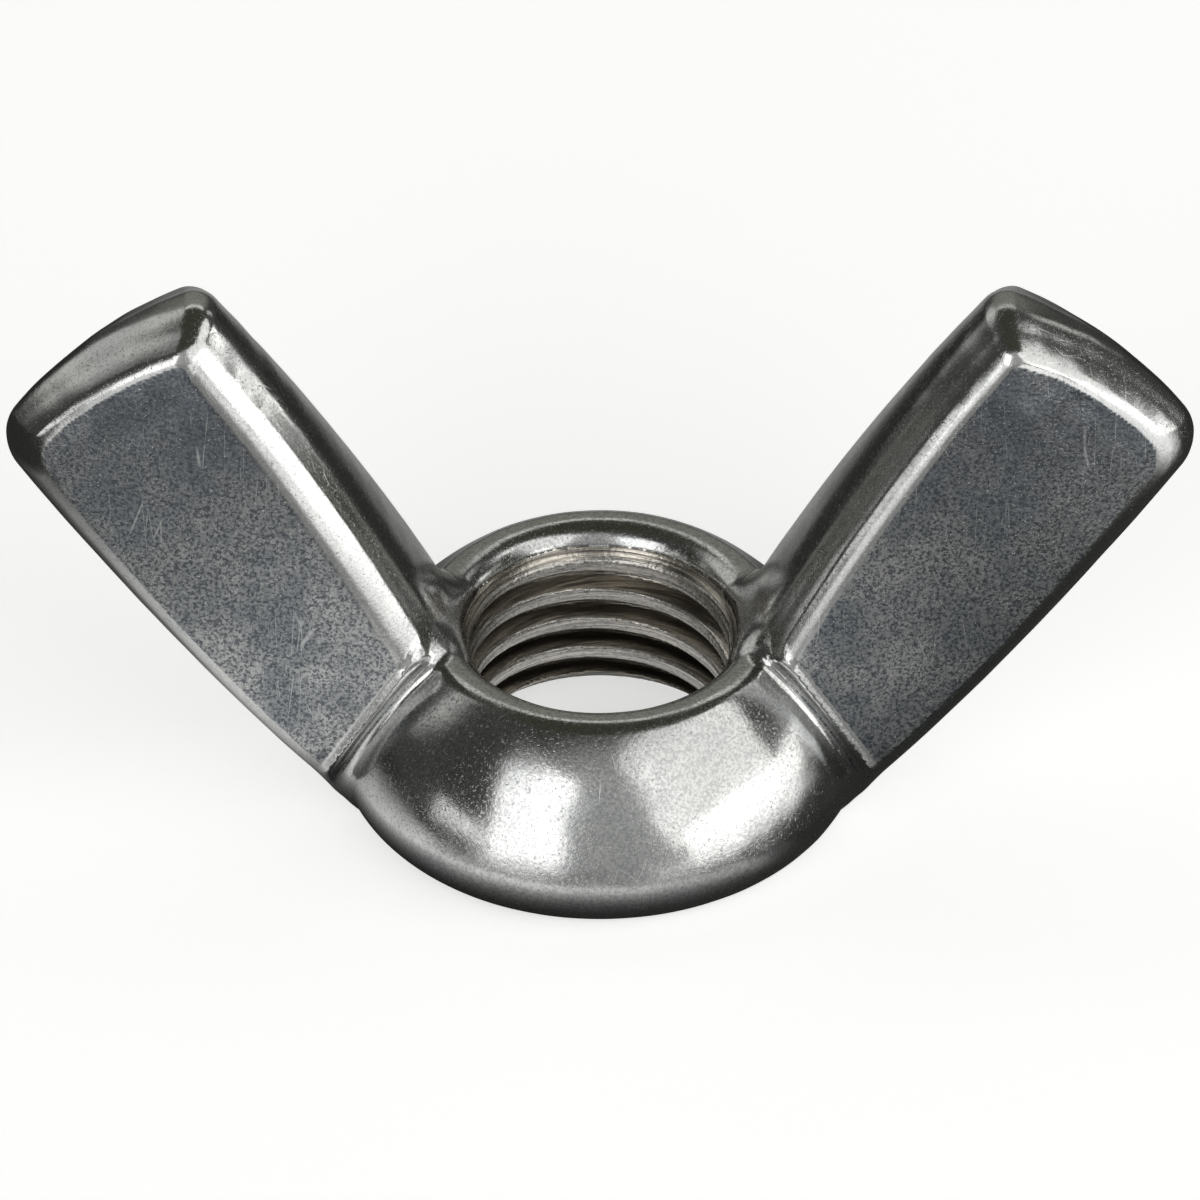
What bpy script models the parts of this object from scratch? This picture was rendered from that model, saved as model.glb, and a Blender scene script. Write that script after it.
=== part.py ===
"""Forged wing nut, one piece: a domed hub with a tapped through bore and two flat paddle wings.

Metres, +Z up. The thread axis is Z, the seating face lies at Z = 0 and the wings spread along X.
The left wing is the right one turned half a turn about the thread axis.
"""

import math

import bmesh
import bpy

MM = 0.001

# Wings: outline of the flat pad in the XZ plane, in millimetres from the thread axis and the seat.
PAD_TIP_INNER = (13.55, 18.80)
PAD_TIP_OUTER = (18.60, 14.55)
PAD_ROOT_INNER = (6.25, 7.00)
PAD_ROOT_OUTER = (9.30, 2.30)
PAD_HALF_TIP = 2.10
PAD_HALF_ROOT = 3.10
INNER_SAG = 0.30
OUTER_SAG = 0.35
TIP_SAG = 0.42
INNER_CROWN = 0.90
OUTER_CROWN = 0.95
TIP_CROWN = 0.95
PAD_EDGE = 0.35
SIDE_POINTS = 7
TIP_POINTS = 5
CROWN_RINGS = (-1.0, -0.72, -0.36, 0.0, 0.36, 0.72, 1.0)

# Neck: the thinner web that runs from under the pad into the hub.
NECK_STEP = 0.90
NECK_CROWN_SHARE = 0.90
NECK_TOP = (8.60, 10.45)
NECK_BURIED_INNER = (5.15, 5.15)
NECK_BURIED_OUTER = (7.80, 0.75)
NECK_LOW = (10.95, 4.70)

# Hub: a turned ring with a rounded lip, a long shallow shoulder and a foot that turns under.
LIP_RING = 5.55
LIP_CENTRE = 5.67
LIP_ROUND = 0.90
SHOULDER_ROUND = 9.40
SHOULDER_TOP = math.radians(48.0)
SHOULDER_FOOT = math.radians(17.0)
FOOT_ROUND = 1.80
HUB_HEIGHT = LIP_CENTRE + LIP_ROUND
HUB_STEPS = 72
ARC_POINTS = 5

# Bore: M10 x 1.25 internal thread, with a rounded lip at the top and a countersink at the seat.
PITCH = 1.25
MINOR_RADIUS = 4.36
MAJOR_RADIUS = 4.95
CHAMFER_DEPTH = 0.25
LIP_POINTS = 5
LIP_SHARE = 0.94
SEAT_LEAD_RADIUS = 5.05
SEAT_LEAD_DEPTH = 0.50
THREAD_FADE = 0.55
CREST_SHARE = 0.30
BORE_STEPS = 48
ROWS_PER_PITCH = 6
OVERSHOOT = 0.60

METAL_COLOUR = (0.56, 0.57, 0.56, 1.0)
METAL_ROUGHNESS = 0.24
METALLIC = 1.0


def clear_objects():
    """Start from an empty scene."""
    for obj in list(bpy.data.objects):
        bpy.data.objects.remove(obj, do_unlink=True)


def new_object(name, bm):
    """Turn a bmesh in millimetres into a named object in metres."""
    bmesh.ops.recalc_face_normals(bm, faces=bm.faces)
    bmesh.ops.scale(bm, vec=(MM, MM, MM), verts=bm.verts)
    mesh = bpy.data.meshes.new(name)
    bm.to_mesh(mesh)
    bm.free()
    obj = bpy.data.objects.new(name, mesh)
    bpy.context.scene.collection.objects.link(obj)
    return obj


def guide(obj):
    """Keep a tool body in the file without it being part of the object."""
    obj.hide_render = True
    obj.display_type = "WIRE"
    return obj


def metal():
    """Bright plated steel."""
    material = bpy.data.materials.new("bright_plate")
    material.use_nodes = True
    shader = material.node_tree.nodes["Principled BSDF"]
    shader.inputs["Base Color"].default_value = METAL_COLOUR
    shader.inputs["Roughness"].default_value = METAL_ROUGHNESS
    shader.inputs["Metallic"].default_value = METALLIC
    return material


def bowed(start, end, sag, count):
    """Points on a shallow arc from start to end that bulges to the left of the way it runs."""
    along = (end[0] - start[0], end[1] - start[1])
    length = math.hypot(*along)
    side = (-along[1] / length, along[0] / length)
    points = []
    for i in range(count):
        t = i / (count - 1)
        lift = 4.0 * sag * t * (1.0 - t)
        points.append((start[0] + along[0] * t + side[0] * lift, start[1] + along[1] * t + side[1] * lift))
    return points


def moved(point, direction, distance):
    return (point[0] + direction[0] * distance, point[1] + direction[1] * distance)


def unit(a, b):
    length = math.hypot(b[0] - a[0], b[1] - a[1])
    return ((b[0] - a[0]) / length, (b[1] - a[1]) / length)


def pad_outline(rise):
    """Outline of the pad with its three free sides pushed out by their crown times rise."""
    inner = unit(PAD_ROOT_INNER, PAD_TIP_INNER)
    outer = unit(PAD_ROOT_OUTER, PAD_TIP_OUTER)
    tip = unit(PAD_TIP_INNER, PAD_TIP_OUTER)
    inner_out = (-inner[1], inner[0])
    outer_out = (outer[1], -outer[0])
    tip_out = (-tip[1], tip[0])
    root_inner = moved(PAD_ROOT_INNER, inner_out, INNER_CROWN * rise)
    root_outer = moved(PAD_ROOT_OUTER, outer_out, OUTER_CROWN * rise)
    tip_inner = moved(moved(PAD_TIP_INNER, inner_out, INNER_CROWN * rise), tip_out, TIP_CROWN * rise)
    tip_outer = moved(moved(PAD_TIP_OUTER, outer_out, OUTER_CROWN * rise), tip_out, TIP_CROWN * rise)
    side_in = bowed(root_inner, tip_inner, INNER_SAG, SIDE_POINTS)
    top = bowed(tip_inner, tip_outer, TIP_SAG, TIP_POINTS)
    side_out = bowed(tip_outer, root_outer, OUTER_SAG, SIDE_POINTS)
    return side_in + top[1:-1] + side_out


def half_thickness(x, z):
    """Half of the pad's thickness, which falls evenly from the root to the tip."""
    root = ((PAD_ROOT_INNER[0] + PAD_ROOT_OUTER[0]) / 2.0, (PAD_ROOT_INNER[1] + PAD_ROOT_OUTER[1]) / 2.0)
    tip = ((PAD_TIP_INNER[0] + PAD_TIP_OUTER[0]) / 2.0, (PAD_TIP_INNER[1] + PAD_TIP_OUTER[1]) / 2.0)
    length = math.hypot(tip[0] - root[0], tip[1] - root[1])
    axis = unit(root, tip)
    along = ((x - root[0]) * axis[0] + (z - root[1]) * axis[1]) / length
    return PAD_HALF_ROOT + (PAD_HALF_TIP - PAD_HALF_ROOT) * along


def lofted(name, outlines, thinner, edge):
    """Loft outlines across the thickness, cap both flat faces and round the edges around them."""
    bm = bmesh.new()
    rings = []
    for share, outline in zip(CROWN_RINGS, outlines):
        ring = [bm.verts.new((x, share * (half_thickness(x, z) - thinner), z)) for x, z in outline]
        rings.append(ring)
    count = len(rings[0])
    for near, far in zip(rings, rings[1:]):
        for i in range(count):
            j = (i + 1) % count
            bm.faces.new((near[i], near[j], far[j], far[i]))
    caps = [bm.faces.new(rings[0]), bm.faces.new(list(reversed(rings[-1])))]
    rim = list({e for cap in caps for e in cap.edges})
    bmesh.ops.recalc_face_normals(bm, faces=bm.faces)
    bmesh.ops.bevel(bm, geom=rim, offset=edge, segments=3, profile=0.5, affect="EDGES", clamp_overlap=True)
    return new_object(name, bm)


def pad(name):
    outlines = [pad_outline(1.0 - share * share) for share in CROWN_RINGS]
    return lofted(name, outlines, 0.0, PAD_EDGE)


def neck(name):
    """Web from under the pad down into the hub."""
    inner = unit(PAD_ROOT_INNER, PAD_TIP_INNER)
    inner_out = (-inner[1], inner[0])
    outer = unit(PAD_ROOT_OUTER, PAD_TIP_OUTER)
    outer_out = (outer[1], -outer[0])
    outlines = []
    for share in CROWN_RINGS:
        rise = 1.0 - share * share
        upper = bowed(NECK_BURIED_INNER, NECK_TOP, 0.0, SIDE_POINTS)
        lower = bowed(NECK_LOW, NECK_BURIED_OUTER, 0.0, SIDE_POINTS)
        upper = [moved(p, inner_out, INNER_CROWN * rise * NECK_CROWN_SHARE) for p in upper]
        lower = [moved(p, outer_out, OUTER_CROWN * rise * NECK_CROWN_SHARE) for p in lower]
        outlines.append(upper + lower)
    return lofted(name, outlines, NECK_STEP, PAD_EDGE)


def hub_profile():
    """Section of the solid hub from its top at the axis, out over the lip and down to the seat."""
    points = [(0.0, HUB_HEIGHT)]
    centre = (LIP_RING, LIP_CENTRE)
    radius = LIP_ROUND
    tilt = math.pi / 2.0
    for end, following in ((SHOULDER_TOP, SHOULDER_ROUND), (SHOULDER_FOOT, FOOT_ROUND)):
        for i in range(ARC_POINTS):
            angle = tilt + (end - tilt) * i / ARC_POINTS
            points.append((centre[0] + radius * math.cos(angle), centre[1] + radius * math.sin(angle)))
        step = radius - following
        centre = (centre[0] + step * math.cos(end), centre[1] + step * math.sin(end))
        radius = following
        tilt = end
    seat = -math.asin(centre[1] / radius)
    for i in range(ARC_POINTS + 1):
        angle = tilt + (seat - tilt) * i / ARC_POINTS
        points.append((centre[0] + radius * math.cos(angle), max(centre[1] + radius * math.sin(angle), 0.0)))
    return points + [(0.0, 0.0)]


def hub(name):
    """Turn the hub's section about the thread axis."""
    bm = bmesh.new()
    verts = [bm.verts.new((r, 0.0, z)) for r, z in hub_profile()]
    edges = [bm.edges.new(pair) for pair in zip(verts, verts[1:])]
    bmesh.ops.spin(bm, geom=verts + edges, cent=(0.0, 0.0, 0.0), axis=(0.0, 0.0, 1.0),
                   angle=2.0 * math.pi, steps=HUB_STEPS)
    bmesh.ops.remove_doubles(bm, verts=bm.verts, dist=0.001)
    return new_object(name, bm)


def smooth(t):
    t = min(max(t, 0.0), 1.0)
    return t * t * (3.0 - 2.0 * t)


def bore_radius(angle, z):
    """Radius of the tapped bore: the thread's form, faded out towards the lip and the seat."""
    phase = (z / PITCH - angle / (2.0 * math.pi)) % 1.0
    groove = 1.0 - abs(2.0 * phase - 1.0)
    groove = smooth((groove - CREST_SHARE) / (1.0 - 2.0 * CREST_SHARE))
    fade = smooth((LIP_CENTRE - CHAMFER_DEPTH - z) / THREAD_FADE) * smooth((z - SEAT_LEAD_DEPTH * 0.6) / THREAD_FADE)
    radius = MINOR_RADIUS + (MAJOR_RADIUS - MINOR_RADIUS) * groove * fade
    countersink = SEAT_LEAD_RADIUS - (SEAT_LEAD_RADIUS - MINOR_RADIUS) * z / SEAT_LEAD_DEPTH
    mouth = LIP_RING - LIP_ROUND
    chamfer = mouth - (mouth - MINOR_RADIUS) * (LIP_CENTRE - z) / CHAMFER_DEPTH
    climb = min(max(z - LIP_CENTRE, 0.0), LIP_ROUND * LIP_SHARE)
    lip = LIP_RING - math.sqrt(LIP_ROUND ** 2 - climb ** 2)
    return max(radius, countersink, min(chamfer, mouth), lip if z > LIP_CENTRE else 0.0)


def bore_heights():
    """Heights of the rings: even through the thread, closer together round the lip."""
    lip_foot = LIP_CENTRE - CHAMFER_DEPTH
    rows = int(round(lip_foot / PITCH * ROWS_PER_PITCH))
    heights = [-OVERSHOOT, 0.0, SEAT_LEAD_DEPTH * 0.5]
    heights += [SEAT_LEAD_DEPTH + (lip_foot - SEAT_LEAD_DEPTH) * i / rows for i in range(rows + 1)]
    for i in range(LIP_POINTS + 1):
        heights.append(LIP_CENTRE + LIP_ROUND * LIP_SHARE * math.sin(math.pi / 2.0 * i / LIP_POINTS))
    return heights + [HUB_HEIGHT + OVERSHOOT]


def bore_cutter(name):
    """Closed body of the bore, a little longer than the hub at both ends."""
    bm = bmesh.new()
    rings = []
    for z in bore_heights():
        ring = []
        for k in range(BORE_STEPS):
            angle = 2.0 * math.pi * (k + 0.5) / BORE_STEPS
            r = bore_radius(angle, z)
            ring.append(bm.verts.new((r * math.cos(angle), r * math.sin(angle), z)))
        rings.append(ring)
    for low, high in zip(rings, rings[1:]):
        for k in range(BORE_STEPS):
            n = (k + 1) % BORE_STEPS
            bm.faces.new((low[k], low[n], high[n], high[k]))
    bm.faces.new(list(reversed(rings[0])))
    bm.faces.new(rings[-1])
    bmesh.ops.triangulate(bm, faces=[f for f in bm.faces if len(f.verts) == 4])
    return new_object(name, bm)


def boolean(target, tool, operation):
    """Add an exact Boolean and hide the tool body."""
    modifier = target.modifiers.new(tool.name, "BOOLEAN")
    modifier.operation = operation
    modifier.solver = "EXACT"
    modifier.object = guide(tool)


def build():
    clear_objects()
    nut = hub("wing_nut")
    nut.data.materials.append(metal())
    for side, turn in (("right", 0.0), ("left", math.pi)):
        web = neck("tool_neck_" + side)
        paddle = pad("tool_pad_" + side)
        for tool in (web, paddle):
            tool.rotation_euler = (0.0, 0.0, turn)
            boolean(nut, tool, "UNION")
    boolean(nut, bore_cutter("tool_bore"), "DIFFERENCE")
    nut.data.shade_smooth()
    nut.data.set_sharp_from_angle(angle=math.radians(35.0))


build()
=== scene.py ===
"""Forged wing nut: visible surface, plated finish and a small product stage, laid out as an add-on.

Sizes are in metres in the panel. The surface itself is worked out in millimetres.
"""

import math

import bpy
import numpy as np
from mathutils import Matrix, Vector


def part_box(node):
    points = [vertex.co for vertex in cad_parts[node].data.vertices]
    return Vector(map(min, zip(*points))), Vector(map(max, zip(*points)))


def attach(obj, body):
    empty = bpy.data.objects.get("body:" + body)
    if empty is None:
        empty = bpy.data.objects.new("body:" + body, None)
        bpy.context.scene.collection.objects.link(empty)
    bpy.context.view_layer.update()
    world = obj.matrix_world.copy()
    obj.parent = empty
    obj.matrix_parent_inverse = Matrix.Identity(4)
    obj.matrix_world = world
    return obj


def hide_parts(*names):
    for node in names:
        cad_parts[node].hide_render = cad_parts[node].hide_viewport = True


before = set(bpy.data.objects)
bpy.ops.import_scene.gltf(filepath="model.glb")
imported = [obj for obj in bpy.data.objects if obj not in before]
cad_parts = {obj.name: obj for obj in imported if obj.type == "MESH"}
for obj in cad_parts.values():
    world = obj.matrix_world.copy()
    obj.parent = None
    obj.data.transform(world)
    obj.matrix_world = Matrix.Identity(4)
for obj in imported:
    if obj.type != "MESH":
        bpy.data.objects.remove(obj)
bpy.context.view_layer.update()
NODE = "wing_nut"
NODE_LOW, NODE_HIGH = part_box(NODE)
MM = 0.001

bl_info = {
    "name": "Forged wing nut",
    "version": (1, 0, 0),
    "blender": (4, 5, 0),
    "location": "View3D > Sidebar > Wing nut",
    "description": "Builds a plated, forged wing nut and a pale stage to show it on",
    "category": "Add Mesh",
}


# ---------------------------------------------------------------- settings


def length(name, description, millimetres):
    """A length property whose default is given in millimetres."""
    return bpy.props.FloatProperty(name=name, description=description, default=millimetres * MM,
                                   unit="LENGTH", subtype="DISTANCE", precision=5)


def angle(name, description, degrees):
    """An angle property whose default is given in degrees."""
    return bpy.props.FloatProperty(name=name, description=description, default=math.radians(degrees),
                                   subtype="ANGLE", unit="ROTATION")


def fraction(name, description, value):
    """A property from 0 to 1."""
    return bpy.props.FloatProperty(name=name, description=description, default=value, min=0.0, max=1.0,
                                   subtype="FACTOR")


def tone(name, description, colour):
    """A colour property."""
    return bpy.props.FloatVectorProperty(name=name, description=description, size=3, subtype="COLOR",
                                         default=colour, min=0.0, max=1.0)


def point(name, description, x, z):
    """A point of the wing's outline: distance from the thread axis and height over the seat."""
    return bpy.props.FloatVectorProperty(name=name, description=description, size=2,
                                         default=(x * MM, z * MM), unit="LENGTH", precision=5)


class WingNutShape(bpy.types.PropertyGroup):
    """Sizes of the forging."""

    tip_inner: point("Tip, inner", "The flat's corner at its tip, on the side of the gap", 13.50, 18.95)
    tip_outer: point("Tip, outer", "The flat's corner at its tip, on the far side", 18.98, 14.50)
    root_inner: point("Root, inner", "The flat's corner at its root, on the side of the gap", 6.25, 7.00)
    root_outer: point("Root, outer", "The flat's corner at its root, on the far side", 9.30, 2.30)
    half_tip: length("Half tip", "Half of the pad's thickness at its tip", 2.10)
    outer_taper: length("Outer taper", "How much thinner each face is at the tip's outer corner", 0.55)
    half_root: length("Half root", "Half of the pad's thickness at its root", 3.10)
    inner_bow: length("Inner bow", "How far the inner side bows along its length", 0.30)
    outer_bow: length("Outer bow", "How far the outer side bows along its length", 0.35)
    tip_bow: length("Tip bow", "How far the tip bows across the wing", 0.52)
    inner_crown: length("Inner crown", "How far the inner side crowns across the thickness", 0.90)
    outer_crown: length("Outer crown", "How far the outer side crowns across the thickness", 0.95)
    tip_crown: length("Tip crown", "How far the tip crowns across the thickness", 0.70)
    inner_round: length("Inner round", "Round between the flat and the inner side on the left", 0.72)
    inner_round_right: length("Inner round right", "The same round on the right", 0.44)
    edge_round: length("Edge round", "Round on the flat's other edges", 0.26)
    corner_round: length("Corner round", "Round between the outer side and the tip", 1.00)
    inner_corner: length("Inner corner", "Round between the inner side and the tip", 0.55)
    step: length("Root step", "How much thinner the neck is than the pad, on each side", 0.90)
    bead: length("Root bead", "Height of the raised edge along the flat's root", 0.15)
    bead_width: length("Bead width", "Width of the rise to the raised edge", 0.32)
    lip_ring: length("Lip ring", "Radius of the ring that the rounded lip follows", 5.55)
    lip_height: length("Lip height", "Height of the middle of the lip's round", 5.67)
    lip_round: length("Lip round", "Radius of the rounded lip", 0.90)
    shoulder_round: length("Shoulder round", "Radius of the hub's long, shallow shoulder", 9.40)
    foot_round: length("Foot round", "Radius that turns the hub under to its seat", 1.80)
    neck_fillet: length("Neck fillet", "Fillet where the neck runs into the hub", 1.00)
    fold_fillet: length("Fold fillet", "Fillet at the foot of the fold", 0.40)
    shoulder_top: angle("Shoulder top", "Tilt of the surface where the shoulder starts", 48.0)
    shoulder_foot: angle("Shoulder foot", "Tilt of the surface where the shoulder ends", 17.0)
    fold_slope: angle("Fold slope", "Slope of the fold at the flat's root", 42.0)
    minor_radius: length("Minor radius", "Radius to the thread's crests", 4.36)
    major_radius: length("Major radius", "Radius to the thread's roots", 4.95)
    pitch: length("Pitch", "Rise of the thread in one turn", 1.25)
    chamfer_height: length("Chamfer height", "Height of the bore's cut chamfer under the lip", 0.48)
    wobble: length("Forging wobble", "Height of the slow waves that forging leaves on the surface", 0.005)
    cell: length("Cell", "Spacing of the surface cells", 0.125)
    triangles: bpy.props.IntProperty(name="Triangles", description="Triangles kept in the surface",
                                     default=190000, min=20000, max=200000)


# The settings of the shape that are angles, not lengths.
ANGLES = ("shoulder_top", "shoulder_foot", "fold_slope")


class WingNutFinish(bpy.types.PropertyGroup):
    """Colours and roughness of the plating."""

    plate: tone("Plate", "Colour of the bright plating", (0.70, 0.70, 0.685))
    dull: tone("Dull plate", "Colour of the duller patches", (0.34, 0.36, 0.375))
    bore: tone("Bore", "Colour of the cut metal in the bore", (0.74, 0.69, 0.61))
    gloss: fraction("Round roughness", "Roughness of the round surfaces", 0.17)
    satin: fraction("Flat roughness", "Roughness of the wings' flats", 0.27)


class WingNutStage(bpy.types.PropertyGroup):
    """Camera, floor and lights."""

    elevation: angle("Elevation", "Camera's angle above the floor", 38.0)
    distance: length("Distance", "Camera's distance from the middle of the nut", 340.0)
    look_height: length("Look height", "Height that the camera looks at", 7.25)
    width_seen: length("Width seen", "Width of the view at the nut", 40.336)
    floor: tone("Floor", "Colour of the floor", (0.90, 0.90, 0.90))
    floor_lift: fraction("Floor lift", "Brightness added to the floor that the camera sees", 0.62)


# ---------------------------------------------------------------- shape of the forging, in millimetres

# Where along the wing its taper stops, as shares of the way from root to tip.
TAPER_LIMITS = (-0.4, 1.2)
# The crown across the thickness is a power curve, steeper where the wing is thicker.
CROWN_STEEPNESS = 0.95
CROWN_LEAST_STEEPNESS = 2.0
CROWN_LIMIT = 1.4
# Width over which the inner side's larger round gives way to the other edges' round.
ROUND_BLEND = 0.5
# Rounds on the fold, on the neck's edges and foot and on the seat, and the neck's gap to the bore.
FOLD_EDGE = 0.12
NECK_EDGE = 0.80
NECK_FOOT = 0.30
SEAT_EDGE = 0.20
NECK_CLEARANCE = 0.10
# The cut chamfer ends this far above the middle of the lip's round, and this far outside its edge.
CHAMFER_RISE = 0.26
CHAMFER_MARGIN = 0.04
COUNTERSINK_RADIUS = 5.05
# Shares of one turn taken by the thread's crest and flanks, and where the thread fades out.
CREST_SHARE = 0.30
FLANK_SHARE = 0.56
FADE_DROP = 0.10
FADE_LENGTH = 0.50
# The tips are more uneven than the rest, and the seat is flat.
TIP_UNEVENNESS = 2.5
TIP_START = 15.0
TIP_BLEND = 2.0
SEAT_BLEND = 0.5
# These keep the field's slope near 1 on the chamfer, and on the thread and countersink.
CHAMFER_STEEPNESS = 0.85
THREAD_STEEPNESS = 0.70


def round_max(a, b, radius):
    """Cut two solids to their overlap, with a rounded edge."""
    outside = np.hypot(np.maximum(a + radius, 0.0), np.maximum(b + radius, 0.0))
    return np.minimum(np.maximum(a, b), -radius) + outside


def round_min(a, b, radius):
    """Join two solids with a fillet."""
    return -round_max(-a, -b, radius)


def bowed_side(across, up, start, end, bow, side):
    """Distance outside a large arc from start to end that bulges by bow to one side."""
    start = np.array(start)
    end = np.array(end)
    span = np.linalg.norm(end - start)
    along = (end - start) / span
    normal = np.array((-along[1], along[0])) * side
    radius = (span * span / 4.0 + bow * bow) / (2.0 * bow)
    centre = (start + end) / 2.0 + normal * (bow - radius)
    return np.hypot(across - centre[0], up - centre[1]) - radius


class Forging:
    """The nut as a field that is negative inside the metal. All lengths are in millimetres."""

    def __init__(self, shape):
        for name in WingNutShape.__annotations__:
            value = getattr(shape, name)
            if isinstance(value, int) or name in ANGLES:
                setattr(self, name, value)
            elif isinstance(value, float):
                setattr(self, name, value / MM)
            else:
                setattr(self, name, (value[0] / MM, value[1] / MM))

    def past_fold(self, across, z):
        """Distance past the line of the fold, toward the hub."""
        fold = np.array(self.root_outer) - np.array(self.root_inner)
        fold = fold / np.linalg.norm(fold)
        return (across - self.root_inner[0]) * fold[1] - (z - self.root_inner[1]) * fold[0]

    def wing(self, x, y, z):
        """Pad with a flat, tapered front and back, and the thinner neck under it."""
        across = np.abs(x)
        depth = np.abs(y)
        root = (np.array(self.root_inner) + np.array(self.root_outer)) / 2.0
        tip = (np.array(self.tip_inner) + np.array(self.tip_outer)) / 2.0
        reach = np.linalg.norm(tip - root)
        axis = (tip - root) / reach
        along = ((across - root[0]) * axis[0] + (z - root[1]) * axis[1]) / reach
        inner = bowed_side(across, z, self.root_inner, self.tip_inner, self.inner_bow, 1.0)
        outer = bowed_side(across, z, self.root_outer, self.tip_outer, self.outer_bow, -1.0)
        end = bowed_side(across, z, self.tip_inner, self.tip_outer, self.tip_bow, 1.0)
        tip_width = np.linalg.norm(np.array(self.tip_outer) - np.array(self.tip_inner))
        outward = np.clip(-inner / tip_width, 0.0, 1.0)
        half = self.half_root + (self.half_tip - self.half_root) * np.clip(along, *TAPER_LIMITS)
        half = half - self.outer_taper * outward * np.clip(along, 0.0, 1.0)
        steepness = np.maximum(CROWN_STEEPNESS * half, CROWN_LEAST_STEEPNESS)
        rise = 1.0 - np.minimum((depth / half) ** steepness, CROWN_LIMIT)
        inner = inner - self.inner_crown * rise
        outer = outer - self.outer_crown * rise
        end = end - self.tip_crown * rise
        past_root = self.past_fold(across, z)
        climb = np.clip(past_root / self.bead_width + 1.0, 0.0, 1.0)
        face = depth - half - self.bead * climb ** 2
        outline = round_max(round_max(outer, end, self.corner_round), inner, self.inner_corner)
        on_inner = np.clip(inner - np.maximum(outer, end) + ROUND_BLEND, 0.0, 1.0)
        inner_round = np.where(x < 0.0, self.inner_round, self.inner_round_right)
        pad = round_max(outline, face, self.edge_round + (inner_round - self.edge_round) * on_inner)
        fold = past_root * math.cos(self.fold_slope) + face * math.sin(self.fold_slope)
        pad = round_max(pad, fold, FOLD_EDGE)
        neck = round_max(round_max(outline, depth - half + self.step, NECK_EDGE), -z, NECK_FOOT)
        return pad, neck

    def hub(self, radius, z):
        """Turned ring: rounded lip, long shoulder and turned-under foot, each an arc tangent to the next."""
        arcs = []
        centre = np.array((self.lip_ring, self.lip_height))
        size = self.lip_round
        joins = ((self.shoulder_top, self.shoulder_round), (self.shoulder_foot, self.foot_round))
        for tilt, following in joins:
            normal = np.array((math.cos(tilt), math.sin(tilt)))
            arcs.append((centre, size, normal))
            centre = centre + normal * (size - following)
            size = following
        wall = np.hypot(np.maximum(radius - centre[0], 0.0), z - centre[1]) - size
        for middle, arc_radius, normal in reversed(arcs):
            above = (z - middle[1]) * normal[0] - (radius - middle[0]) * normal[1] > 0.0
            wall = np.where(above, np.hypot(radius - middle[0], z - middle[1]) - arc_radius, wall)
        mouth = np.maximum(self.lip_ring - self.lip_round - radius, -self.lip_round)
        wall = np.where((radius < self.lip_ring) & (z < self.lip_height), mouth, wall)
        return round_max(wall, -z, SEAT_EDGE)

    def chamfer_radius(self, z):
        """Radius of the cut cone between the thread and the lip."""
        mouth = self.lip_ring - self.lip_round + CHAMFER_MARGIN
        top = self.lip_height + CHAMFER_RISE
        share = np.clip((z - top + self.chamfer_height) / self.chamfer_height, 0.0, 1.0)
        return self.minor_radius + (mouth - self.minor_radius) * share

    def thread_radius(self, x, y, z):
        """Radius of the tapped bore, faded out below the lip."""
        turn = np.arctan2(y, x) / (2.0 * math.pi)
        phase = (z / self.pitch - turn) % 1.0
        groove = np.clip((1.0 - np.abs(2.0 * phase - 1.0) - CREST_SHARE) / FLANK_SHARE, 0.0, 1.0)
        groove = groove * groove * (3.0 - 2.0 * groove)
        fade = np.clip((self.lip_height - FADE_DROP - z) / FADE_LENGTH, 0.0, 1.0)
        return self.minor_radius + (self.major_radius - self.minor_radius) * groove * fade

    def waves(self, x, y, z):
        """Slow unevenness left by the dies."""
        total = np.sin(1.31 * x + 0.53 * z + 0.4) * np.sin(1.07 * z - 0.61 * x + 1.1)
        total = total + 0.7 * np.sin(2.3 * x - 0.9 * z + 1.7 * y) * np.sin(1.9 * z + 0.8 * y + 0.5)
        return total + 0.5 * np.sin(3.7 * x + 2.2 * y + 0.2) * np.sin(3.1 * z - 1.3 * y)

    def field(self, x, y, z):
        """Distance-like value, negative inside the metal."""
        radius = np.hypot(x, y)
        pad, neck = self.wing(x, y, z)
        mouth = self.lip_ring - self.lip_round
        neck = np.maximum(neck, mouth + NECK_CLEARANCE - radius)
        body = round_min(self.hub(radius, z), neck, self.neck_fillet)
        body = round_min(body, pad, self.fold_fillet)
        uneven = self.wobble * (1.0 + TIP_UNEVENNESS * np.clip((z - TIP_START) / TIP_BLEND, 0.0, 1.0))
        body = body + uneven * self.waves(x, y, z) * np.clip(z / SEAT_BLEND, 0.0, 1.0)
        body = np.maximum(np.maximum(body, -z), mouth - radius)
        ring = np.maximum((self.chamfer_radius(z) - radius) * CHAMFER_STEEPNESS, radius - self.lip_ring)
        ring = np.maximum(np.maximum(ring, z - self.lip_height - CHAMFER_RISE), -z)
        body = np.minimum(body, ring)
        body = np.maximum(body, (self.thread_radius(x, y, z) - radius) * THREAD_STEEPNESS)
        return np.maximum(body, (COUNTERSINK_RADIUS - z - radius) * THREAD_STEEPNESS)

    def gradient(self, p):
        """Value, unit slope and steepness at each point."""
        step = 0.002
        corners = ((1, 1, 1), (1, -1, -1), (-1, 1, -1), (-1, -1, 1))
        slope = np.zeros_like(p)
        value = np.zeros(len(p))
        for corner in corners:
            offset = np.array(corner, float)
            q = p + offset * step
            f = self.field(q[:, 0], q[:, 1], q[:, 2])
            slope += f[:, None] * offset
            value += f
        slope /= 4.0 * step
        size = np.maximum(np.linalg.norm(slope, axis=1), 1e-6)
        return value / 4.0, slope / size[:, None], size


# ---------------------------------------------------------------- surface of the forging

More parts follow.
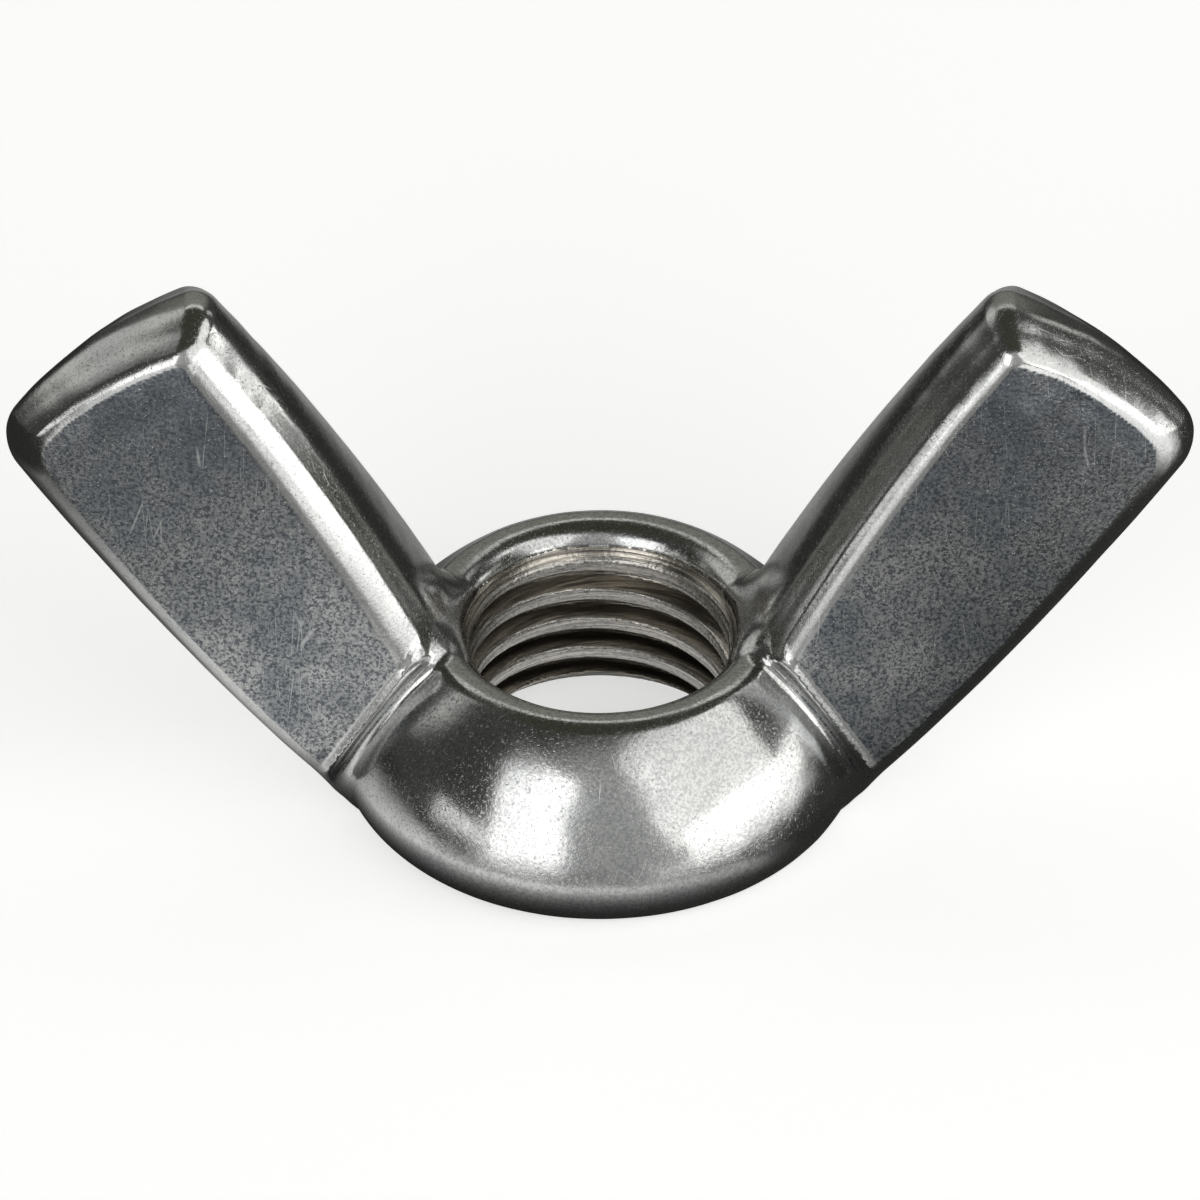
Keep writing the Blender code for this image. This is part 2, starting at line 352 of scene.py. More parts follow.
# Cells along one side of a block, empty cells around the nut, how near a block's middle has to be
# to the surface, in block sides, and points worked out at a time.
BLOCK = 6
MARGIN = 3.0
BLOCK_REACH = 1.3
BATCH = 500000
# Rounds of evening out, share of the way moved in each, and the longest step onto the surface.
SETTLE_ROUNDS = 5
SETTLE_SHARE = 0.5
SETTLE_STEP = 0.10
PULL_ROUNDS = 3
PULL_STEP = 0.08


def sample(forging, cell):
    """Sign of the field on a regular grid. Only blocks near the surface are worked out point by point."""
    margin = MARGIN * cell
    axes = []
    for low, high in zip(NODE_LOW, NODE_HIGH):
        blocks = math.ceil(((high - low) / MM + 2.0 * margin) / (cell * BLOCK))
        axes.append(low / MM - margin + cell * np.arange(blocks * BLOCK))
    middles = [axis.reshape(-1, BLOCK).mean(axis=1) for axis in axes]
    rough = forging.field(*np.meshgrid(*middles, indexing="ij"))
    near = np.abs(rough) < BLOCK * cell * BLOCK_REACH
    inside = rough < 0.0
    for n in range(3):
        near = np.repeat(near, BLOCK, axis=n)
        inside = np.repeat(inside, BLOCK, axis=n)
    found = np.nonzero(near)
    for start in range(0, len(found[0]), BATCH):
        i, j, k = (part[start:start + BATCH] for part in found)
        inside[i, j, k] = forging.field(axes[0][i], axes[1][j], axes[2][k]) < 0.0
    return axes, inside


def wrap(axes, inside):
    """One vertex per cell that the surface crosses, and one quad per grid edge that it crosses."""
    corners = [inside[i:inside.shape[0] - 1 + i, j:inside.shape[1] - 1 + j, k:inside.shape[2] - 1 + k]
               for i in (0, 1) for j in (0, 1) for k in (0, 1)]
    some = np.logical_or.reduce(corners)
    every = np.logical_and.reduce(corners)
    mixed = some & ~every
    index = np.full(mixed.shape, -1, dtype=np.int64)
    index[mixed] = np.arange(mixed.sum())
    cells = np.argwhere(mixed)
    spacing = axes[0][1] - axes[0][0]
    points = np.stack([axes[n][cells[:, n]] + spacing / 2.0 for n in range(3)], axis=1)
    quads = []
    for axis in range(3):
        order = (axis, (axis + 1) % 3, (axis + 2) % 3)
        sign = inside.transpose(order)
        cell_index = index.transpose(order)
        low = sign[:-1, 1:-1, 1:-1]
        high = sign[1:, 1:-1, 1:-1]
        for mask, flip in ((low & ~high, False), (~low & high, True)):
            i, j, k = np.nonzero(mask)
            quad = [cell_index[i, j, k], cell_index[i, j + 1, k],
                    cell_index[i, j + 1, k + 1], cell_index[i, j, k + 1]]
            quads.append(np.stack(quad[::-1] if flip else quad, axis=1))
    return points, np.concatenate(quads)


def settle(forging, points, faces):
    """Spread the vertices evenly over the surface and pull them onto it."""
    ends = np.concatenate([faces[:, [i, (i + 1) % faces.shape[1]]] for i in range(faces.shape[1])])
    count = np.maximum(np.bincount(ends[:, 0], minlength=len(points)), 1)[:, None]
    for i in range(SETTLE_ROUNDS):
        value, normal, size = forging.gradient(points)
        points = points - normal * np.clip(value / size, -SETTLE_STEP, SETTLE_STEP)[:, None]
        total = np.stack([np.bincount(ends[:, 0], weights=points[ends[:, 1], n], minlength=len(points))
                          for n in range(3)], axis=1)
        move = total / count - points
        move -= normal * (move * normal).sum(axis=1)[:, None]
        points = points + SETTLE_SHARE * move
    return pull(forging, points)


def pull(forging, points):
    """Newton steps onto the surface."""
    for i in range(PULL_ROUNDS):
        value, normal, size = forging.gradient(points)
        points = points - normal * np.clip(value / size, -PULL_STEP, PULL_STEP)[:, None]
    return points


def mesh_from(name, points, faces):
    """A mesh in metres from points in millimetres."""
    mesh = bpy.data.meshes.new(name)
    mesh.from_pydata([tuple(p) for p in points * MM], [], [tuple(f) for f in faces])
    mesh.validate()
    return mesh


def thinned(obj, triangles):
    """Collapse the flattest triangles until the limit is met."""
    present = len(obj.data.polygons) * 2
    if present > triangles:
        modifier = obj.modifiers.new("thin_out", "DECIMATE")
        modifier.ratio = triangles / present
        bpy.context.view_layer.objects.active = obj
        obj.select_set(True)
        bpy.ops.object.modifier_apply(modifier=modifier.name)


def forged_body(shape):
    """The nut's whole surface as one mesh object, with the field it was drawn from."""
    forging = Forging(shape)
    cell = forging.cell * 1.0
    axes, inside = sample(forging, cell)
    points, quads = wrap(axes, inside)
    points = settle(forging, points, quads)
    obj = bpy.data.objects.new("wing_nut_surface", mesh_from("wing_nut_surface", points, quads))
    bpy.context.scene.collection.objects.link(obj)
    thinned(obj, forging.triangles)
    mesh = obj.data
    flat = np.empty(len(mesh.vertices) * 3)
    mesh.vertices.foreach_get("co", flat)
    points = pull(forging, flat.reshape(-1, 3) / MM)
    mesh.vertices.foreach_set("co", (points * MM).ravel())
    _, normal, _ = forging.gradient(points)
    mesh.shade_smooth()
    mesh.update()
    mesh.normals_split_custom_set_from_vertices([tuple(n) for n in normal])
    return obj, forging


def mark_bore(obj, forging):
    """Give the faces of the tapped bore the second material."""
    mesh = obj.data
    centres = np.empty(len(mesh.polygons) * 3)
    mesh.polygons.foreach_get("center", centres)
    centres = centres.reshape(-1, 3) / MM
    radius = np.hypot(centres[:, 0], centres[:, 1])
    slack = 0.01
    top = forging.lip_height + CHAMFER_RISE + slack
    widest = forging.major_radius + 0.10
    bore = (radius < widest) & (centres[:, 2] < top) & (centres[:, 2] > slack)
    mesh.polygons.foreach_set("material_index", bore.astype(np.int32))


# ---------------------------------------------------------------- finishes


def node(tree, kind, label=None, **values):
    """Add a node and set its options and unlinked sockets."""
    made = tree.nodes.new(kind)
    if label:
        made.label = label
    for key, value in values.items():
        if key in made.inputs:
            made.inputs[key].default_value = value
        else:
            setattr(made, key, value)
    return made


def socket_group(name, inputs, outputs):
    """A shader group with named sockets. Returns the tree with its input and output nodes."""
    tree = bpy.data.node_groups.new(name, "ShaderNodeTree")
    for label, kind, value in inputs:
        made = tree.interface.new_socket(name=label, in_out="INPUT", socket_type=kind)
        if value is not None:
            made.default_value = value
    for label, kind in outputs:
        tree.interface.new_socket(name=label, in_out="OUTPUT", socket_type=kind)
    return tree, tree.nodes.new("NodeGroupInput"), tree.nodes.new("NodeGroupOutput")


def ramp(tree, source, low, high, label):
    """Smooth step of a value between two limits."""
    made = node(tree, "ShaderNodeMapRange", label, interpolation_type="SMOOTHSTEP")
    made.inputs["From Min"].default_value = low
    made.inputs["From Max"].default_value = high
    tree.links.new(source, made.inputs["Value"])
    return made.outputs["Result"]


def maths(tree, operation, a, b, label=None):
    """Maths node between sockets or numbers."""
    made = node(tree, "ShaderNodeMath", label, operation=operation)
    for slot, value in enumerate((a, b)):
        if isinstance(value, (int, float)):
            made.inputs[slot].default_value = value
        else:
            tree.links.new(value, made.inputs[slot])
    return made.outputs[0]


def times(tree, a, b, label=None):
    """Product of two sockets or numbers."""
    return maths(tree, "MULTIPLY", a, b, label)


def plus(tree, a, b):
    """Sum of two sockets or numbers."""
    return maths(tree, "ADD", a, b)


def parts_of(tree, vector, label):
    """Sockets with the X, Y and Z parts of a vector."""
    made = node(tree, "ShaderNodeSeparateXYZ", label)
    tree.links.new(vector, made.inputs[0])
    return made.outputs["X"], made.outputs["Y"], made.outputs["Z"]


def joined(tree, x, y, z, label):
    """A vector from sockets. A part may be None."""
    made = node(tree, "ShaderNodeCombineXYZ", label)
    for slot, part in enumerate((x, y, z)):
        if part is not None:
            tree.links.new(part, made.inputs[slot])
    return made.outputs[0]


def vector_value(tree, operation, vector, output, label):
    """One result of a vector maths node."""
    made = node(tree, "ShaderNodeVectorMath", label, operation=operation)
    tree.links.new(vector, made.inputs[0])
    return made.outputs[output]


def mixed(tree, factor, a, b, label):
    """Mix two values, each a socket or a number."""
    made = node(tree, "ShaderNodeMix", label, data_type="FLOAT")
    tree.links.new(factor, made.inputs[0])
    for slot, value in ((2, a), (3, b)):
        if isinstance(value, bpy.types.NodeSocket):
            tree.links.new(value, made.inputs[slot])
        else:
            made.inputs[slot].default_value = value
    return made.outputs[0]


def relief(tree, shader, height, depth, label):
    """Bump whose height of 1 stands for a depth given in millimetres."""
    bump = node(tree, "ShaderNodeBump", label)
    bump.inputs["Strength"].default_value = 1.0
    bump.inputs["Distance"].default_value = depth * MM
    tree.links.new(height, bump.inputs["Height"])
    tree.links.new(bump.outputs["Normal"], shader.inputs["Normal"])


def blend(tree, factor, a, b, label):
    """Mix two colours, each a socket or a colour."""
    made = node(tree, "ShaderNodeMix", label, data_type="RGBA")
    tree.links.new(factor, made.inputs[0])
    for slot, value in ((6, a), (7, b)):
        if isinstance(value, bpy.types.NodeSocket):
            tree.links.new(value, made.inputs[slot])
        else:
            made.inputs[slot].default_value = (*value[:3], 1.0)
    return made.outputs[2]


def noise(tree, vector, scale, detail, label, rough=0.5):
    """Noise value at a scale given in features per millimetre."""
    made = node(tree, "ShaderNodeTexNoise", label)
    made.inputs["Scale"].default_value = scale
    made.inputs["Detail"].default_value = detail
    made.inputs["Roughness"].default_value = rough
    tree.links.new(vector, made.inputs["Vector"])
    return made.outputs["Fac"]


GRAIN_OUTPUTS = ("Height", "Cloud", "Speck", "Pit", "Mottle")


def forged_grain_group():
    """Fine grain, pits and cloudy patches of a plated forging, on coordinates in millimetres."""
    tree, start, end = socket_group(
        "forged_grain",
        [("Vector", "NodeSocketVector", None), ("Grain", "NodeSocketFloat", 1.0)],
        [(name, "NodeSocketFloat") for name in GRAIN_OUTPUTS])
    vector = start.outputs["Vector"]
    fine = noise(tree, vector, 6.5, 3.0, "fine grain", 0.6)
    coarse = noise(tree, vector, 1.7, 2.0, "orange peel")
    cloud = noise(tree, vector, 0.42, 4.0, "clouds", 0.62)
    speck_noise = noise(tree, vector, 12.0, 2.0, "specks", 0.8)
    pit_noise = noise(tree, vector, 10.0, 2.0, "pits", 0.7)
    mottle = noise(tree, vector, 8.5, 3.0, "mottle", 0.75)
    height = plus(tree, times(tree, fine, start.outputs["Grain"], "grain height"), times(tree, coarse, 0.8))
    tree.links.new(height, end.inputs["Height"])
    tree.links.new(ramp(tree, cloud, 0.35, 0.66, "cloud contrast"), end.inputs["Cloud"])
    tree.links.new(ramp(tree, speck_noise, 0.62, 0.74, "speck threshold"), end.inputs["Speck"])
    tree.links.new(ramp(tree, pit_noise, 0.42, 0.26, "pit threshold"), end.inputs["Pit"])
    tree.links.new(ramp(tree, mottle, 0.41, 0.61, "mottle contrast"), end.inputs["Mottle"])
    return tree


# Turn in radians, fineness and width of each set of hairline scratches.
SCRATCHES = ((0.9, 1.0, 0.013), (-0.8, 0.8, 0.011), (1.9, 1.2, 0.010))


def handling_group():
    """Sparse hairline scratches in a few directions, on coordinates in millimetres."""
    tree, start, end = socket_group(
        "handling_marks",
        [("Vector", "NodeSocketVector", None), ("Amount", "NodeSocketFloat", 1.0)],
        [("Mask", "NodeSocketFloat")])
    total = None
    for turn, scale, width in SCRATCHES:
        mapping = node(tree, "ShaderNodeMapping", "scratch direction")
        mapping.inputs["Rotation"].default_value = (0.25 * turn, turn, 0.6 * turn)
        mapping.inputs["Scale"].default_value = (scale * 2.2, scale * 2.2, scale * 0.16)
        mapping.inputs["Location"].default_value = (3.1 * turn, 1.7, 5.3 * turn)
        tree.links.new(start.outputs["Vector"], mapping.inputs["Vector"])
        lines = node(tree, "ShaderNodeTexVoronoi", "scratch lines", feature="DISTANCE_TO_EDGE")
        lines.inputs["Scale"].default_value = 0.55
        tree.links.new(mapping.outputs["Vector"], lines.inputs["Vector"])
        thin = ramp(tree, lines.outputs["Distance"], width, 0.0, "hairline")
        where = noise(tree, start.outputs["Vector"], 0.35 + 0.1 * scale, 1.0, "where")
        part = times(tree, thin, ramp(tree, where, 0.60, 0.68, "gate"))
        total = part if total is None else maths(tree, "MAXIMUM", total, part)
    tree.links.new(times(tree, total, start.outputs["Amount"]), end.inputs["Mask"])
    return tree


def placed(tree, group, vector, **values):
    """Place a shared group and feed it coordinates."""
    made = tree.nodes.new("ShaderNodeGroup")
    made.node_tree = group
    made.label = group.name
    tree.links.new(vector, made.inputs["Vector"])
    for key, value in values.items():
        made.inputs[key].default_value = value
    return made


def new_finish(name):
    """A bare metal material, with its shader and its coordinates in millimetres."""
    material = bpy.data.materials.new(name)
    material.use_nodes = True
    tree = material.node_tree
    shader = tree.nodes["Principled BSDF"]
    shader.inputs["Metallic"].default_value = 1.0
    coordinates = node(tree, "ShaderNodeTexCoord", "object coordinates")
    scale = node(tree, "ShaderNodeMapping", "millimetres")
    scale.inputs["Scale"].default_value = (1.0 / MM, 1.0 / MM, 1.0 / MM)
    tree.links.new(coordinates.outputs["Object"], scale.inputs["Vector"])
    return material, tree, shader, coordinates, scale.outputs["Vector"]


# Painted shade: the darker colour given to the wings' flats, standing in for the dark surroundings they
# reflect.
FLATS_PAINTED_SHADE = (0.15, 0.16, 0.175)
MOTTLE_SHADE = (0.080, 0.094, 0.112)
# Painted shade on the flats toward the wings' tips.
TIP_PAINTED_SHADE = (0.100, 0.112, 0.132)
PIT_SHADE = (0.20, 0.21, 0.21)
SPECK_SHADE = (0.86, 0.87, 0.86)
# How much of the mottling shows on the hub, how much less on the wings, and how much more on flats.
MOTTLE_ON_HUB = 0.34
MOTTLE_LOST_ON_WINGS = 0.18
MOTTLE_ON_FLATS = 0.74


def plated_finish(finish, grain, marks):
    """Bright plating: glossy on the round surfaces, satin and speckled on the wings' flats, whose plate is
    darkened by painted shade that deepens toward their tips.
    """
    material, tree, shader, coordinates, vector = new_finish("bright_plate")
    grained = placed(tree, grain, vector, Grain=1.0)
    scratches = placed(tree, marks, vector, Amount=0.5).outputs["Mask"]
    height, cloud, speck, pit, mottle = (grained.outputs[name] for name in GRAIN_OUTPUTS)
    depthwise = maths(tree, "ABSOLUTE", parts_of(tree, coordinates.outputs["Normal"], "facing")[1], 0.0)
    facing = ramp(tree, depthwise, 0.975, 0.995, "faces front or back")
    across, _, up = parts_of(tree, vector, "place")
    outboard = ramp(tree, maths(tree, "ABSOLUTE", across, 0.0), 5.5, 7.0, "on a wing")
    flats = times(tree, facing, outboard, "flats")

    satin = plus(tree, times(tree, cloud, 0.10), finish.satin - 0.05)
    gloss = plus(tree, times(tree, cloud, 0.08), finish.gloss - 0.04)
    rough = mixed(tree, flats, gloss, satin, "roughness")
    tree.links.new(plus(tree, rough, times(tree, speck, 0.18)), shader.inputs["Roughness"])

    patch = times(tree, cloud, plus(tree, times(tree, flats, 0.65), 0.25))
    colour = blend(tree, patch, finish.plate, finish.dull, "clouded plate")
    # Painted shade: the flats' plate is darkened, on top of their satin roughness.
    colour = blend(tree, times(tree, flats, 0.30), colour, FLATS_PAINTED_SHADE, "painted shade on the flats")
    amount = maths(tree, "SUBTRACT", MOTTLE_ON_HUB, times(tree, outboard, MOTTLE_LOST_ON_WINGS))
    amount = plus(tree, amount, times(tree, flats, MOTTLE_ON_FLATS))
    colour = blend(tree, times(tree, mottle, amount), colour, MOTTLE_SHADE, "mottled plate")
    # Painted shade, not tarnish: the flats darken toward the wings' tips, standing in for the darker
    # reflections at their upper ends.
    painted_tip_shade_amount = times(tree, ramp(tree, up, 10.5, 16.5, "toward the tip"), times(tree, flats, 0.60))
    colour = blend(tree, painted_tip_shade_amount, colour, TIP_PAINTED_SHADE, "painted shade toward the tip")
    colour = blend(tree, times(tree, pit, 0.45), colour, PIT_SHADE, "dark pits")
    sparkle = times(tree, speck, plus(tree, times(tree, flats, 0.5), 0.4))
    light = maths(tree, "MAXIMUM", sparkle, scratches)
    colour = blend(tree, light, colour, SPECK_SHADE, "bright specks")
    tree.links.new(colour, shader.inputs["Base Color"])

    height = times(tree, height, plus(tree, times(tree, flats, 1.4), 1.0))
    height = maths(tree, "SUBTRACT", height, times(tree, pit, 0.9))
    height = maths(tree, "SUBTRACT", height, times(tree, scratches, 0.8))
    relief(tree, shader, height, 0.0035, "grain relief")
    return material


TOOL_MARK_SHADE = (0.20, 0.185, 0.165)
# Painted shade in the thread's grooves.
GROOVE_PAINTED_SHADE = (0.045, 0.040, 0.032)
CREST_SHADE = (0.82, 0.82, 0.80)
BORE_PIT_SHADE = (0.12, 0.11, 0.10)


def bore_finish(finish, grain):
    """Tapped metal: fine tool lines round the bore, torn crests, painted shade in the grooves and a warmer
    colour.
    """
    material, tree, shader, coordinates, vector = new_finish("tapped_bore")
    grained = placed(tree, grain, vector, Grain=1.5)
    x, y, z = parts_of(tree, vector, "place")
    stretched = (times(tree, part, stretch) for part, stretch in ((x, 0.25), (y, 0.25), (z, 12.0)))
    tool_path = joined(tree, *stretched, "along the tool path")
    lines = noise(tree, tool_path, 1.0, 3.0, "tool lines", 0.7)
    radius = vector_value(tree, "LENGTH", joined(tree, x, y, None, "across the bore"), "Value", "radius")
    crest = ramp(tree, radius, 4.52, 4.38, "crests")
    groove = ramp(tree, radius, 4.42, 4.74, "grooves")
    torn = times(tree, crest, noise(tree, vector, 5.0, 3.0, "torn crests", 0.7))

    marked = ramp(tree, lines, 0.38, 0.60, "line contrast")
    colour = blend(tree, marked, finish.bore, TOOL_MARK_SHADE, "tool marks")
    # Painted shade: the grooves are darkened, most deep in the bore and least in the first turns under the
    # mouth.
    groove_painted_shade_amount = maths(tree, "SUBTRACT", 0.92, times(tree, ramp(tree, z, 2.6, 4.6, "first turns"), 0.72))
    colour = blend(tree, times(tree, groove, groove_painted_shade_amount), colour, GROOVE_PAINTED_SHADE, "painted shade in the grooves")
    colour = blend(tree, times(tree, torn, 0.8), colour, CREST_SHADE, "bright crests")
    colour = blend(tree, times(tree, grained.outputs["Pit"], 0.5), colour, BORE_PIT_SHADE, "pits")
    tree.links.new(colour, shader.inputs["Base Color"])
    tree.links.new(plus(tree, times(tree, lines, 0.22), 0.12), shader.inputs["Roughness"])

    shader.inputs["Anisotropic"].default_value = 0.75
    shader.inputs["Anisotropic Rotation"].default_value = 0.25
    around = node(tree, "ShaderNodeTangent", "round the bore", direction_type="RADIAL", axis="Z")
    tree.links.new(around.outputs["Tangent"], shader.inputs["Tangent"])
    height = plus(tree, times(tree, lines, 1.6), times(tree, torn, 3.0))
    relief(tree, shader, plus(tree, height, grained.outputs["Height"]), 0.012, "tool relief")
    return material


# ---------------------------------------------------------------- stage

ROOM_SHADE = (0.055, 0.057, 0.052)
# Painted shade: the darker floor colour that only rays from the nut see.
FLOOR_PAINTED_DARK_IN_REFLECTIONS = (0.080, 0.084, 0.080)

# Azimuth, elevation, inner and outer angle in degrees, colour and name of each patch of the room.
ROOM_PATCHES = (
    (0.0, 20.0, 18.0, 42.0, (0.42, 0.425, 0.42), "room in front"),
    (-116.0, 30.0, 13.0, 28.0, (0.62, 0.62, 0.60), "light on the far left"),
    (180.0, 36.0, 20.0, 38.0, (0.24, 0.245, 0.215), "back"),
    (0.0, 90.0, 26.0, 40.0, (0.052, 0.054, 0.040), "dark ceiling"),
)

LIGHT_DISTANCE = 0.60

# Name, azimuth and elevation in degrees, width and height in metres, brightness and colour of each light.
LIGHTS = (
    ("key_right", 55.0, 31.0, 0.66, 0.56, 1.15, (1.0, 0.995, 0.98)),
    ("low_right", 69.0, 5.0, 0.74, 0.17, 1.8, (1.0, 0.995, 0.98)),
    ("fill_left", -31.0, 19.0, 0.34, 0.42, 1.7, (1.0, 1.0, 1.0)),
    ("strip_left", -60.0, 3.5, 0.26, 0.08, 1.15, (1.0, 1.0, 0.99)),
    ("edge_right", 122.0, 33.0, 0.12, 0.22, 0.50, (1.0, 0.99, 0.96)),
    ("back_top", 180.0, 58.0, 0.62, 0.12, 0.60, (1.0, 1.0, 0.98)),
)

# Name, azimuth, inner and outer angle in degrees and brightness of each pool of painted light on the
# floor, seen only in reflections, then the distances in metres between which it comes up and between
# which it fades again.
ALL_ROUND = (180.0, 180.0)
FROM_THE_MIDDLE = (-0.002, -0.001)
ENDLESS = (9.0, 9.1)
FLOOR_GLOW = (
    ("painted light on the floor, right", 54.0, (31.0, 43.0), 1.25, (0.026, 0.050), ENDLESS),
    ("painted light on the floor, left", -33.0, (10.0, 17.0), 0.90, (0.024, 0.042), ENDLESS),
    ("floor near the key light", 27.0, (14.0, 26.0), 0.42, (0.009, 0.013), (0.016, 0.030)),
    ("floor near the fill light", -20.0, (9.0, 18.0), 0.36, (0.009, 0.013), (0.016, 0.030)),
    ("floor in front", -28.0, (30.0, 90.0), 0.78, (0.0085, 0.0150), (0.016, 0.034)),
    ("floor further in front", 0.0, (34.0, 62.0), 0.24, (0.009, 0.013), ENDLESS),
    ("floor behind", 180.0, (8.0, 32.0), 0.30, (0.004, 0.012), ENDLESS),
    ("floor under the bore", 0.0, ALL_ROUND, 0.50, FROM_THE_MIDDLE, (0.004, 0.006)),
)


def looking(azimuth, elevation, distance, centre):
    """A place at an azimuth from the front, positive to the right, and an elevation, seen from centre."""
    flat = math.cos(elevation)
    offset = Vector((math.sin(azimuth) * flat, -math.cos(azimuth) * flat, math.sin(elevation)))
    return centre + offset * distance


def aim(obj, target):
    """Point an object's -Z at the target."""
    obj.rotation_euler = (target - obj.location).to_track_quat("-Z", "Y").to_euler()


def softbox(name, azimuth, elevation, width, height, radiance, tint, centre):
    """A rectangular light whose power follows from the brightness of its face."""
    data = bpy.data.lights.new(name, "AREA")
    data.shape = "RECTANGLE"
    data.size = width
    data.size_y = height
    data.color = tint
    data.energy = radiance * math.pi * width * height
    lamp = bpy.data.objects.new(name, data)
    lamp.location = looking(math.radians(azimuth), math.radians(elevation), LIGHT_DISTANCE, centre)
    aim(lamp, centre)
    bpy.context.scene.collection.objects.link(lamp)


def toward(tree, direction, azimuth, elevation, inner, outer):
    """Mask that is 1 within the inner angle of a direction and 0 beyond the outer one, in degrees."""
    centre = looking(math.radians(azimuth), math.radians(elevation), 1.0, Vector((0.0, 0.0, 0.0)))
    dot = node(tree, "ShaderNodeVectorMath", "angle to a place in the room", operation="DOT_PRODUCT")
    tree.links.new(direction, dot.inputs[0])
    dot.inputs[1].default_value = centre
    low, high = (math.cos(math.radians(limit)) for limit in (outer, inner))
    return ramp(tree, dot.outputs["Value"], low, high, "patch")


def studio_room():
    """Dark grey surroundings with lighter patches in front, behind and on the far left."""
    world = bpy.data.worlds.new("studio_room")
    world.use_nodes = True
    tree = world.node_tree
    background = tree.nodes["Background"]
    coordinates = node(tree, "ShaderNodeTexCoord", "direction")
    direction = coordinates.outputs["Generated"]
    colour = ROOM_SHADE
    for azimuth, elevation, inner, outer, shade, label in ROOM_PATCHES:
        mask = toward(tree, direction, azimuth, elevation, inner, outer)
        colour = blend(tree, mask, colour, shade, label)
    tree.links.new(colour, background.inputs["Color"])
    background.inputs["Strength"].default_value = 1.0
    bpy.context.scene.world = world


def floor_finish(colour, lift):
    """Pale, matt floor. The nut reflects the floor painted darker, a painted shade, with painted light
    glowing on the sides where the lights stand.
    """
    material = bpy.data.materials.new("pale_floor")
    material.use_nodes = True
    tree = material.node_tree
    shader = tree.nodes["Principled BSDF"]
    shader.inputs["Roughness"].default_value = 0.9
    shader.inputs["Specular IOR Level"].default_value = 0.0
    seen = node(tree, "ShaderNodeLightPath", "who looks").outputs["Is Camera Ray"]
    # Painted shade: the camera sees the pale floor, every other ray a darker copy.
    tree.links.new(blend(tree, seen, FLOOR_PAINTED_DARK_IN_REFLECTIONS, tuple(colour), "floor"), shader.inputs["Base Color"])
    place = node(tree, "ShaderNodeTexCoord", "place on the floor").outputs["Object"]
    direction = vector_value(tree, "NORMALIZE", place, "Vector", "direction from the nut")
    away = vector_value(tree, "LENGTH", place, "Value", "distance from the nut")
    glow = None
    # Painted light: glowing pools on the floor that only the nut's reflections see; the camera sees the even
    # lift instead.
    for label, azimuth, spread, brightness, rising, falling in FLOOR_GLOW:
        part = ramp(tree, away, rising[0], rising[1], "comes up")
        part = times(tree, part, ramp(tree, away, falling[1], falling[0], "fades"))
        if spread != ALL_ROUND:
            part = times(tree, part, toward(tree, direction, azimuth, 0.0, *spread))
        part = times(tree, part, brightness, label)
        glow = part if glow is None else maths(tree, "MAXIMUM", glow, part)
    tree.links.new(mixed(tree, seen, glow, lift, "glow"), shader.inputs["Emission Strength"])
    shader.inputs["Emission Color"].default_value = (1.0, 1.0, 0.99, 1.0)
    return material


def build_floor(colour, lift):
    """A large flat floor, just below the seat."""
    half = 2.0
    drop = 0.02 * MM
    mesh = bpy.data.meshes.new("floor")
    mesh.from_pydata([(-half, -half, -drop), (half, -half, -drop), (half, half, -drop), (-half, half, -drop)],
                     [], [(0, 1, 2, 3)])
    mesh.materials.append(floor_finish(colour, lift))
    obj = bpy.data.objects.new("floor", mesh)
    bpy.context.scene.collection.objects.link(obj)


def build_camera(stage):
    """Camera at the front, above the floor."""
    target = Vector((0.0, 0.0, stage.look_height))
    data = bpy.data.cameras.new("camera")
    data.sensor_width = 36.0
    data.lens = data.sensor_width * stage.distance / stage.width_seen
    data.clip_start = 0.01
    data.clip_end = 20.0
    camera = bpy.data.objects.new("camera", data)
    camera.location = looking(0.0, stage.elevation, stage.distance, target)
    aim(camera, target)
    bpy.context.scene.collection.objects.link(camera)
    bpy.context.scene.camera = camera


# ---------------------------------------------------------------- operators and panel


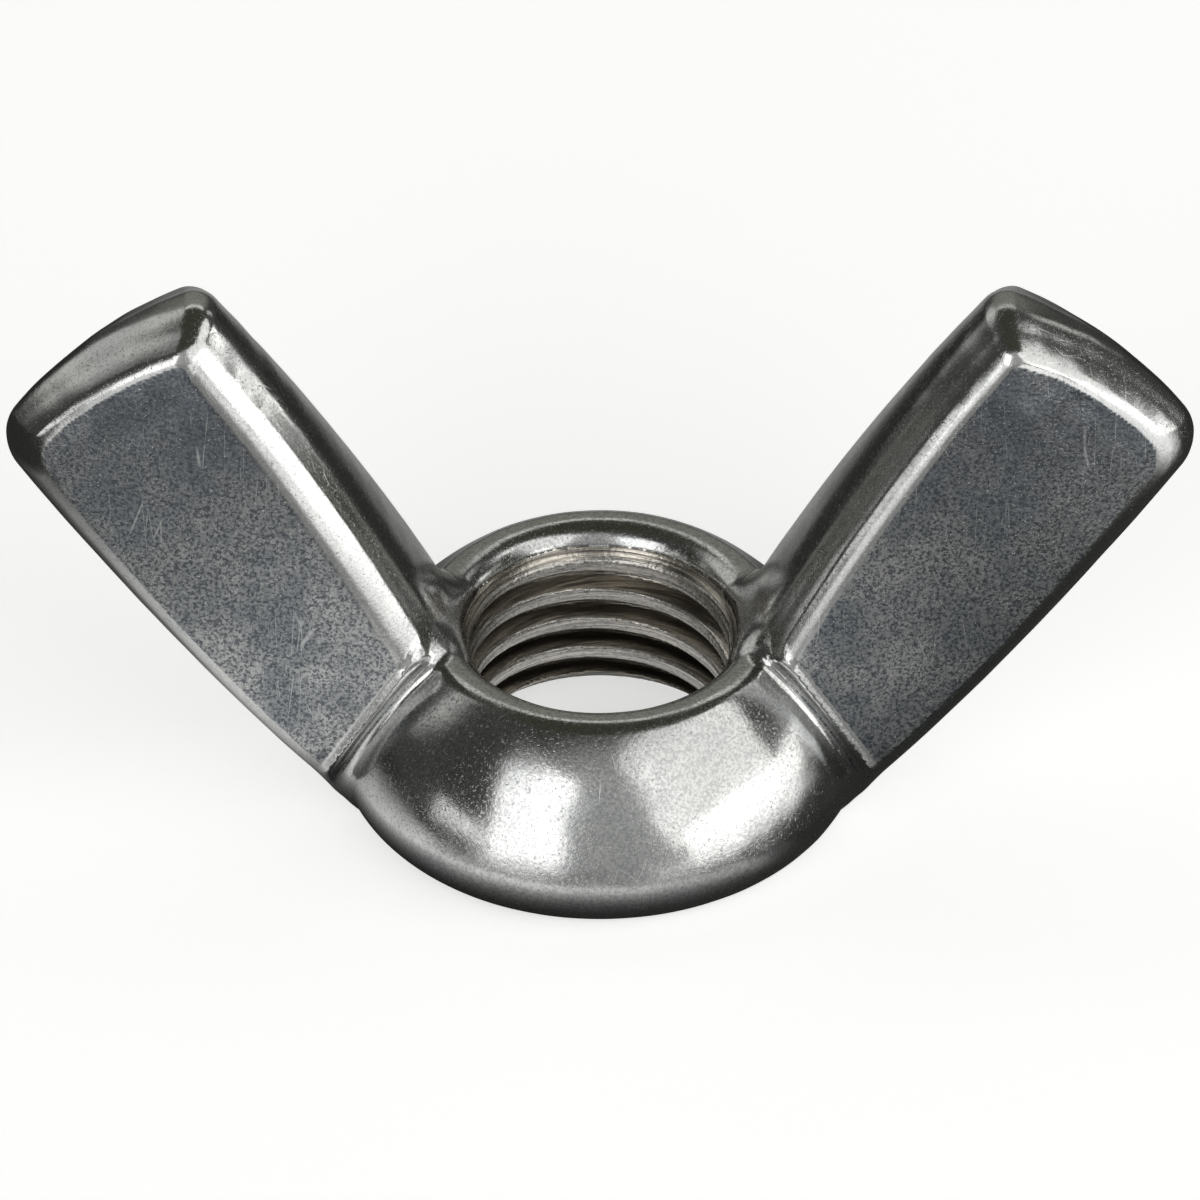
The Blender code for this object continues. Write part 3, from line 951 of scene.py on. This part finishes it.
class WINGNUT_OT_nut(bpy.types.Operator):
    """Build the forged nut's surface and its finishes"""

    bl_idname = "wingnut.nut"
    bl_label = "Wing nut"

    def execute(self, context):
        settings = context.scene
        surface, forging = forged_body(settings.wing_nut_shape)
        grain = forged_grain_group()
        marks = handling_group()
        surface.data.materials.append(plated_finish(settings.wing_nut_finish, grain, marks))
        surface.data.materials.append(bore_finish(settings.wing_nut_finish, grain))
        mark_bore(surface, forging)
        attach(surface, "root")
        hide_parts(NODE)
        return {"FINISHED"}


class WINGNUT_OT_stage(bpy.types.Operator):
    """Build the floor, the lights, the surroundings and the camera"""

    bl_idname = "wingnut.stage"
    bl_label = "Stage"

    def execute(self, context):
        stage = context.scene.wing_nut_stage
        centre = Vector((0.0, 0.0, stage.look_height))
        build_camera(stage)
        build_floor(stage.floor, stage.floor_lift)
        studio_room()
        for light in LIGHTS:
            softbox(*light, centre)
        context.scene.view_settings.view_transform = "Standard"
        return {"FINISHED"}


class WINGNUT_PT_panel(bpy.types.Panel):
    """Sidebar panel that lists the pieces and their settings"""

    bl_label = "Wing nut"
    bl_idname = "WINGNUT_PT_panel"
    bl_space_type = "VIEW_3D"
    bl_region_type = "UI"
    bl_category = "Wing nut"

    def draw(self, context):
        layout = self.layout
        for operator in (WINGNUT_OT_nut, WINGNUT_OT_stage):
            layout.operator(operator.bl_idname)
        scene = context.scene
        for group in (scene.wing_nut_shape, scene.wing_nut_finish, scene.wing_nut_stage):
            box = layout.box()
            for name in type(group).__annotations__:
                box.prop(group, name)


CLASSES = (WingNutShape, WingNutFinish, WingNutStage, WINGNUT_OT_nut, WINGNUT_OT_stage, WINGNUT_PT_panel)


def register():
    for cls in CLASSES:
        bpy.utils.register_class(cls)
    bpy.types.Scene.wing_nut_shape = bpy.props.PointerProperty(type=WingNutShape)
    bpy.types.Scene.wing_nut_finish = bpy.props.PointerProperty(type=WingNutFinish)
    bpy.types.Scene.wing_nut_stage = bpy.props.PointerProperty(type=WingNutStage)


def unregister():
    del bpy.types.Scene.wing_nut_stage
    del bpy.types.Scene.wing_nut_finish
    del bpy.types.Scene.wing_nut_shape
    for cls in reversed(CLASSES):
        bpy.utils.unregister_class(cls)


def main():
    """Build the stage and the nut."""
    register()
    bpy.ops.wingnut.stage()
    bpy.ops.wingnut.nut()


if __name__ == "__main__":
    main()
